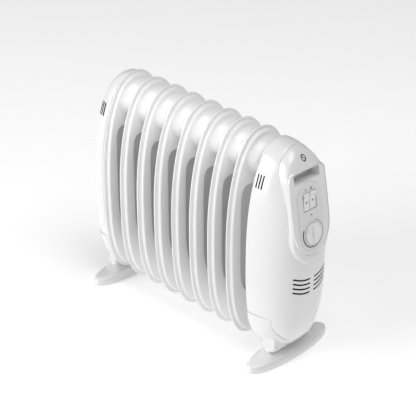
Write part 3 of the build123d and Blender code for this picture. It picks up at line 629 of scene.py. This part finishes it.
def arc(centre, radii, start, stop, count):
    """Points of an elliptical arc, angles in degrees."""
    points = []
    for k in range(count + 1):
        angle = radians(mix(start, stop, k / count))
        points.append((centre[0] + radii[0] * cos(angle), centre[1] + radii[1] * sin(angle)))
    return points


def skirt_region(gap):
    """Outline, over (y, height above axis_z), of what lies below the joint and outside the tongue."""
    level = -split_drop - gap
    tongue = arc((0, -split_drop), (tongue_half_width + gap, tongue_drop + gap), 360, 180, tongue_steps)
    return [(beyond_width, level), *tongue, (-beyond_width, level),
            (-beyond_width, beyond_bottom), (beyond_width, beyond_bottom)]


def along_x(start, stop):
    """Place function of a prism that runs along X, over (y, height above axis_z)."""
    return lambda a, b, end: (start if end == 0 else stop, a, axis_z + b)


def vent_slots():
    """Curved slots in two columns, low on the front of the front cover."""
    solids = []
    for row in range(vent_rows):
        level = (vent_level - vent_pitch * row) * mm
        for side in (-1, 1):
            middle = []
            for k in range(vent_steps + 1):
                t = k / vent_steps
                middle.append((side * mix(vent_inner, vent_outer, t) * mm, level + vent_rise * t ** 2))
            solids.append(prism(ribbon(middle, vent_half), along_x(*vent_cut)))
    return solids


def ribbon(middle, half):
    """Outline of a band of this half width round a line of points, with round ends."""
    left, right = [], []
    for k, (a, b) in enumerate(middle):
        before = middle[max(0, k - 1)]
        after = middle[min(len(middle) - 1, k + 1)]
        run = sqrt((after[0] - before[0]) ** 2 + (after[1] - before[1]) ** 2)
        normal = (-(after[1] - before[1]) / run, (after[0] - before[0]) / run)
        left.append((a + half * normal[0], b + half * normal[1]))
        right.append((a - half * normal[0], b - half * normal[1]))
    turn_end = cap_points(middle[-1], left[-1], half, -1)
    turn_start = cap_points(middle[0], right[0], half, -1)
    return left + turn_end + list(reversed(right)) + turn_start


def cap_points(centre, start, half, way):
    """Half circle of points round the end of a band."""
    first = atan2(start[1] - centre[1], start[0] - centre[0])
    points = []
    for k in range(1, cap_steps):
        angle = first + way * pi * k / cap_steps
        points.append((centre[0] + half * cos(angle), centre[1] + half * sin(angle)))
    return points


def side_slots(centre_x, half):
    """Three upright slots through both sides of a cover."""
    solids = []
    for k in (-1, 0, 1):
        x = centre_x + k * side_slot_pitch
        outline = ribbon([(x, axis_z + level) for level in side_slot_levels], half)
        solids.append(prism(outline, lambda a, b, end: (a, -side_cut if end == 0 else side_cut, b)))
    return solids


def panel_outline(grow=0.0):
    """Outline of the control panel over (y, up the panel), anticlockwise from the chin's right end."""
    width = panel_half_width + grow
    corner = panel_corner + grow
    top = panel_top + grow
    chin = arc((0, panel_chin), (width, panel_chin_depth + grow), 180, 360, chin_steps)
    right = arc((width - corner, top - corner), (corner, corner), 0, 90, corner_steps)
    left = arc((-width + corner, top - corner), (corner, corner), 90, 180, corner_steps)
    return chin + right + left


def on_panel(y, v, out=0.0):
    """Point of the panel's plane, v up it and out from it."""
    place = panel_origin + panel_up * v + panel_out * out
    return (place.x, y, place.z)


def panel_prism(grow, low, high):
    """Prism over the panel's outline, from low to high out of its plane."""
    return prism(panel_outline(grow), lambda a, b, end: on_panel(a, b, low if end == 0 else high))


def make_front_cover():
    """Front cover: domed shell with its vents, panel opening and tongue."""
    points, faces, slots = dome_shell(front_dome, rows=52, count=200)
    cover = add_mesh("front_cover_shell", points, faces, [white_plastic, painted_shade_inside], slots)
    fix_normals(cover.data)
    # The vents' cut walls take slot 1, the near-black painted shade.
    carve(cover, join_solids(vent_slots() + side_slots(front_slot_x, front_slot_half)), slot=1)
    carve(cover, panel_prism(panel_gap, -panel_cut, panel_cut))
    carve(cover, prism(skirt_region(0), along_x(front_cut_x, beyond_end)))
    settle(cover)
    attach(cover, "heater")
    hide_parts("front_cover")


def skirt_lift(y, z):
    """The skirt dips to meet the tongue, over a ridge that follows it."""
    across = y / tongue_half_width
    along = (z + split_drop) / tongue_drop
    away = (sqrt(across ** 2 + along ** 2) - 1) * tongue_drop / mm
    if away < 0:
        return under_tongue
    if away < ridge_width:
        return mix(ridge_foot, ridge_height, away / ridge_width) * mm
    t = min(1.0, (away - ridge_width) / ridge_fade)
    return mix(ridge_height, ridge_rest, t * t * (3 - 2 * t)) * mm


def make_skirt(name, dome, x_far):
    """Lower skirt of a cover, with a ridge round the cover's tongue."""
    points, faces, slots = dome_shell(dome, rows=60, count=280, lift=skirt_lift)
    skirt = add_mesh(name + "_shell", points, faces, [white_plastic, painted_shade_inside], slots)
    fix_normals(skirt.data)
    start = dome["face_x"] * skirt_cut_share
    carve(skirt, prism(skirt_region(seam_gap), along_x(start, x_far)), "INTERSECT")
    settle(skirt)
    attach(skirt, "heater")
    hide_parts(name)


def make_rear_cover():
    """Rear cover: domed shell with its side vents and screw recesses."""
    points, faces, slots = dome_shell(rear_dome, rows=40, count=200)
    cover = add_mesh("rear_cover_shell", points, faces, [white_plastic, painted_shade_inside], slots)
    fix_normals(cover.data)
    carve(cover, join_solids(side_slots(rear_slot_x, rear_slot_half)), slot=1)
    carve(cover, prism(skirt_region(0), along_x(rear_cut_x, -beyond_end)))
    wells = []
    for side in (-1, 1):
        turn = 360 - 360 / well_points
        circle = arc((0, side * well_height), (well_radius, well_radius), 0, turn, well_points - 1)
        wells.append(prism(circle, along_x(well_floor_x, well_end_x)))
    carve(cover, join_solids(wells))
    settle(cover)
    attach(cover, "heater")
    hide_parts("rear_cover")


# ---------------------------------------------------------------- hood
def hood_outline():
    """Outline of the hood's foot over (y, height above axis_z), from the top anticlockwise."""
    steps = 24
    top_radii = (hood_half_width, hood_top_radius)
    top_left = arc((0, hood_shoulder), top_radii, 90, 180, steps)
    left = [(-hood_half_width, mix(hood_shoulder, hood_chin, k / steps)) for k in range(1, steps)]
    bottom = arc((0, hood_chin), (hood_half_width, hood_bottom_radius), 180, 360, 2 * steps)
    right = [(hood_half_width, mix(hood_chin, hood_shoulder, k / steps)) for k in range(1, steps)]
    top_right = arc((0, hood_shoulder), top_radii, 0, 87, steps - 1)
    return top_left + left + bottom + right + top_right


def reach_of(outline, centre, angle):
    """Distance from the centre to a star-shaped outline in this direction."""
    direction = (cos(angle), sin(angle))
    for k in range(len(outline)):
        a, b = outline[k - 1], outline[k]
        ax, ay = a[0] - centre[0], a[1] - centre[1]
        ex, ey = b[0] - a[0], b[1] - a[1]
        cross = direction[0] * ey - direction[1] * ex
        if abs(cross) < tiny:
            continue
        distance = (ax * ey - ay * ex) / cross
        share = (ax * direction[1] - ay * direction[0]) / cross
        if distance > 0 and -1e-9 <= share <= 1 + 1e-9:
            return distance
    return 0.0


def hood_level(y, z):
    """How far out the hood's top is: a flatter dome, eased into the plane of the lip round the panel."""
    lip = on_panel(y, (axis_z + z - panel_origin.z) / cos(panel_tilt), hood_rise)[0]
    cap = dome_surface_x(cap_dome, y, z, hood_rise)
    share = max(0.0, min(1.0, 0.5 + (lip - cap) / (2 * hood_blend)))
    return mix(lip, cap, share) - hood_blend * share * (1 - share)


def make_hood():
    """Raised surround that grows out of the cover and frames the panel."""
    foot = hood_outline()
    panel_z = panel_origin.z - axis_z
    centre = (0, panel_z + hood_centre)
    squash = cos(panel_tilt)
    rim = [(y, panel_z + v * squash) for y, v in panel_outline(hood_rim)]
    edge = [(y, panel_z + v * squash) for y, v in panel_outline(hood_edge)]
    first_top = len(hood_base)
    first_lip = first_top + hood_steps + 1
    loops = [[] for _ in range(first_lip + len(hood_lip))]
    for y, z in foot:
        angle = atan2(z - centre[1], y)
        direction = Vector((0, cos(angle), sin(angle)))
        surface = dome_surface_x(front_dome, y, z)
        start = Vector((surface, y, axis_z + z))
        for row, (outside, out) in enumerate(hood_base):
            loops[row].append(start + direction * outside * mm + Vector((out * mm, 0, 0)))
        reach = reach_of(rim, centre, angle)
        rim_y, rim_z = centre[0] + reach * cos(angle), centre[1] + reach * sin(angle)
        span = sqrt((y - rim_y) ** 2 + (z - rim_z) ** 2)
        shoulder = min(hood_shoulder_width, max(span, hood_least_shoulder))
        for step in range(hood_steps + 1):
            share = (step / hood_steps) ** hood_crowding
            top_y, top_z = mix(y, rim_y, share), mix(z, rim_z, share)
            inside = min(1.0, share * span / shoulder)
            rise = sqrt(1 - (1 - inside) ** 2)
            level = mix(surface + hood_start, hood_level(top_y, top_z), rise)
            loops[first_top + step].append(Vector((level, top_y, axis_z + top_z)))
        near = reach_of(edge, centre, angle)
        edge_y, edge_z = centre[0] + near * cos(angle), centre[1] + near * sin(angle)
        edge_v = (edge_z - panel_z) / squash
        rim_v = (rim_z - panel_z) / squash
        for row, (share, out) in enumerate(hood_lip):
            place = on_panel(mix(rim_y, edge_y, share), mix(rim_v, edge_v, share), out * mm)
            loops[first_lip + row].append(Vector(place))
    points, faces = skin(loops, ring=True)
    hood = add_mesh("control_hood_shell", points, faces, [white_plastic])
    fix_normals(hood.data)
    settle(hood, radians(50))
    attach(hood, "heater")
    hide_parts("control_hood")


# ---------------------------------------------------------------- controls
def ring_arc(centre, radius, start, stop, half_start, half_stop, count=72):
    """Outline of an arc, angles in degrees, whose half width grows from one end to the other."""
    outer, inner = [], []
    for k in range(count + 1):
        amount = k / count
        angle = radians(mix(start, stop, amount))
        half = mix(half_start, half_stop, amount ** 2)
        for reach, side in ((radius + half, outer), (radius - half, inner)):
            side.append((centre[0] + reach * cos(angle), centre[1] + reach * sin(angle)))
    return outer + list(reversed(inner))


def printed(outline):
    """Thin closed film of ink on the fascia."""
    low = fascia_out - print_height
    return prism(outline, lambda a, b, end: on_panel(a, b, low if end == 0 else fascia_out + print_height))


def make_print():
    """Printed marks of the fascia: the wedge round the knob and plain strokes round the rockers."""
    films = [printed(ring_arc((0, knob_v), wedge_radius, 70, -210, *wedge_half))]
    for start, stop, half in fascia_strokes:
        line = [(start[0] * mm, start[1] * mm), (stop[0] * mm, stop[1] * mm)]
        films.append(printed(ribbon(line, half * mm)))
    marks = add_mesh("fascia_print", *join_solids(films), [ink])
    fix_normals(marks.data)
    settle(marks)
    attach(marks, "heater")


def on_cap(y, z, end):
    """Place function of a prism through the hood's top."""
    return (hood_level(y, z) + (end - 0.5) * badge_thickness, y, axis_z + z)


def make_badge():
    """Plain ring with a stroke across it, printed on the hood's cap."""
    centre = (0, badge_height)
    line = [(-badge_reach, badge_height + badge_reach), (badge_reach, badge_height - badge_reach)]
    films = []
    for start in (0, 180):
        half_ring = ring_arc(centre, badge_radius, start, start + 180, badge_half, badge_half, badge_steps)
        films.append(prism(half_ring, on_cap))
    films.append(prism(ribbon(line, badge_stroke_half), on_cap))
    badge = add_mesh("hood_badge", *join_solids(films), [ink])
    fix_normals(badge.data)
    settle(badge)
    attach(badge, "heater")


def make_knob():
    """Thermostat knob: a dished disc with a raised rim and a tapered grip bar."""
    angles = [2 * pi * k / circle_points for k in range(circle_points)]
    disc = []
    for r, out in disc_section:
        disc.append([on_panel(r * mm * cos(a), knob_v + r * mm * sin(a), out * mm) for a in angles])
    bar = []
    for length, width, out in bar_levels:
        outline = [oval_point(a, width * mm, length * mm, length * mm, bar_power, bar_power) for a in angles]
        bar.append([on_panel(y, knob_v + v, out * mm) for y, v in outline])
    points, faces = join_solids([skin(disc), skin(bar)])
    knob = add_mesh("knob_shell", points, faces, [knob_plastic])
    fix_normals(knob.data)
    settle(knob, radians(40))
    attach(knob, "thermostat")
    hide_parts("thermostat_knob")


# ---------------------------------------------------------------- feet
def foot_point(angle, inset_x, inset_y):
    """Outline of a foot over (x, y), this far in from its edge."""
    half_length = foot_half_length - inset_y
    return oval_point(angle, foot_half_depth - inset_x, half_length, half_length, foot_power, foot_power)


def make_foot(label, foot_x, neck, collar):
    """Boat-shaped foot that sweeps up into its neck; neck and collar are (middle, half depth) along X."""
    angles = [2 * pi * k / loop_points for k in range(loop_points)]
    loops = []
    for z, inset in foot_section:
        outline = [foot_point(angle, inset * mm, inset * mm) for angle in angles]
        loops.append([(foot_x + x, y, z * mm) for x, y in outline])
    for z, amount, lip in neck_sweep:
        middle = mix(neck[0], collar[0], lip)
        depth = mix(neck[1], collar[1], lip)
        loop = []
        for angle in angles:
            x0, y0 = foot_point(angle, neck_start_inset, 2 * neck_start_inset)
            x1, y1 = oval_point(angle, depth, neck_half_length, neck_half_length, neck_power, neck_power)
            x0 = max(-neck_limit, min(neck_limit, x0 * neck_spread))
            loop.append((mix(foot_x + x0, middle + x1, amount), mix(y0, y1, amount), z * mm))
        loops.append(loop)
    points, faces = skin(loops)
    foot = add_mesh(label + "_foot_shell", points, faces, [white_plastic])
    fix_normals(foot.data)
    settle(foot, radians(50))
    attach(foot, "heater")
    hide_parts(label + "_foot")


# ---------------------------------------------------------------- stage
def make_stage():
    """Pale floor, soft light and the camera."""
    scene = bpy.context.scene
    floor_material = new_material("floor", (0.93, 0.93, 0.93), 0.9, specular=0.1)
    add_bump(floor_material, 60, 0.0002, 0.1)
    glow = floor_material.node_tree.nodes["Principled BSDF"].inputs
    glow["Emission Color"].default_value = (1, 1, 1, 1)
    glow["Emission Strength"].default_value = floor_glow
    ways = ((-1, -1), (1, -1), (1, 1), (-1, 1))
    corners = [(a * floor_half_size, b * floor_half_size, 0) for a, b in ways]
    floor = add_mesh("floor", corners, [(0, 1, 2, 3)], [floor_material])
    world = bpy.data.worlds.new("studio")
    world.use_nodes = True
    world.node_tree.nodes["Background"].inputs["Color"].default_value = (1, 1, 1, 1)
    world.node_tree.nodes["Background"].inputs["Strength"].default_value = sky_strength
    scene.world = world
    for name, place, width, power in lamps:
        light = bpy.data.lights.new(name, "AREA")
        light.size = width
        light.energy = power
        lamp = bpy.data.objects.new(name, light)
        lamp.location = place
        aim = Vector(lamp_target) - lamp.location
        lamp.rotation_euler = aim.to_track_quat("-Z", "Y").to_euler()
        scene.collection.objects.link(lamp)
    data = bpy.data.cameras.new("camera")
    data.lens = camera_lens
    data.sensor_width = sensor_width
    camera = bpy.data.objects.new("camera", data)
    camera.location = camera_place
    direction = Vector(camera_target) - camera.location
    camera.rotation_euler = direction.to_track_quat("-Z", "Y").to_euler()
    scene.collection.objects.link(camera)
    scene.camera = camera
    scene.view_settings.view_transform = "Standard"


paint_nodes()
for number in range(1, element_count + 1):
    make_fin(number)
make_front_cover()
make_skirt("front_skirt", front_dome, beyond_end)
make_rear_cover()
make_skirt("rear_skirt", rear_dome, -beyond_end)
make_hood()
make_badge()
make_print()
make_knob()
make_foot("front", front_foot_x, front_neck, front_collar)
make_foot("rear", rear_foot_x, rear_neck, rear_neck)
make_stage()
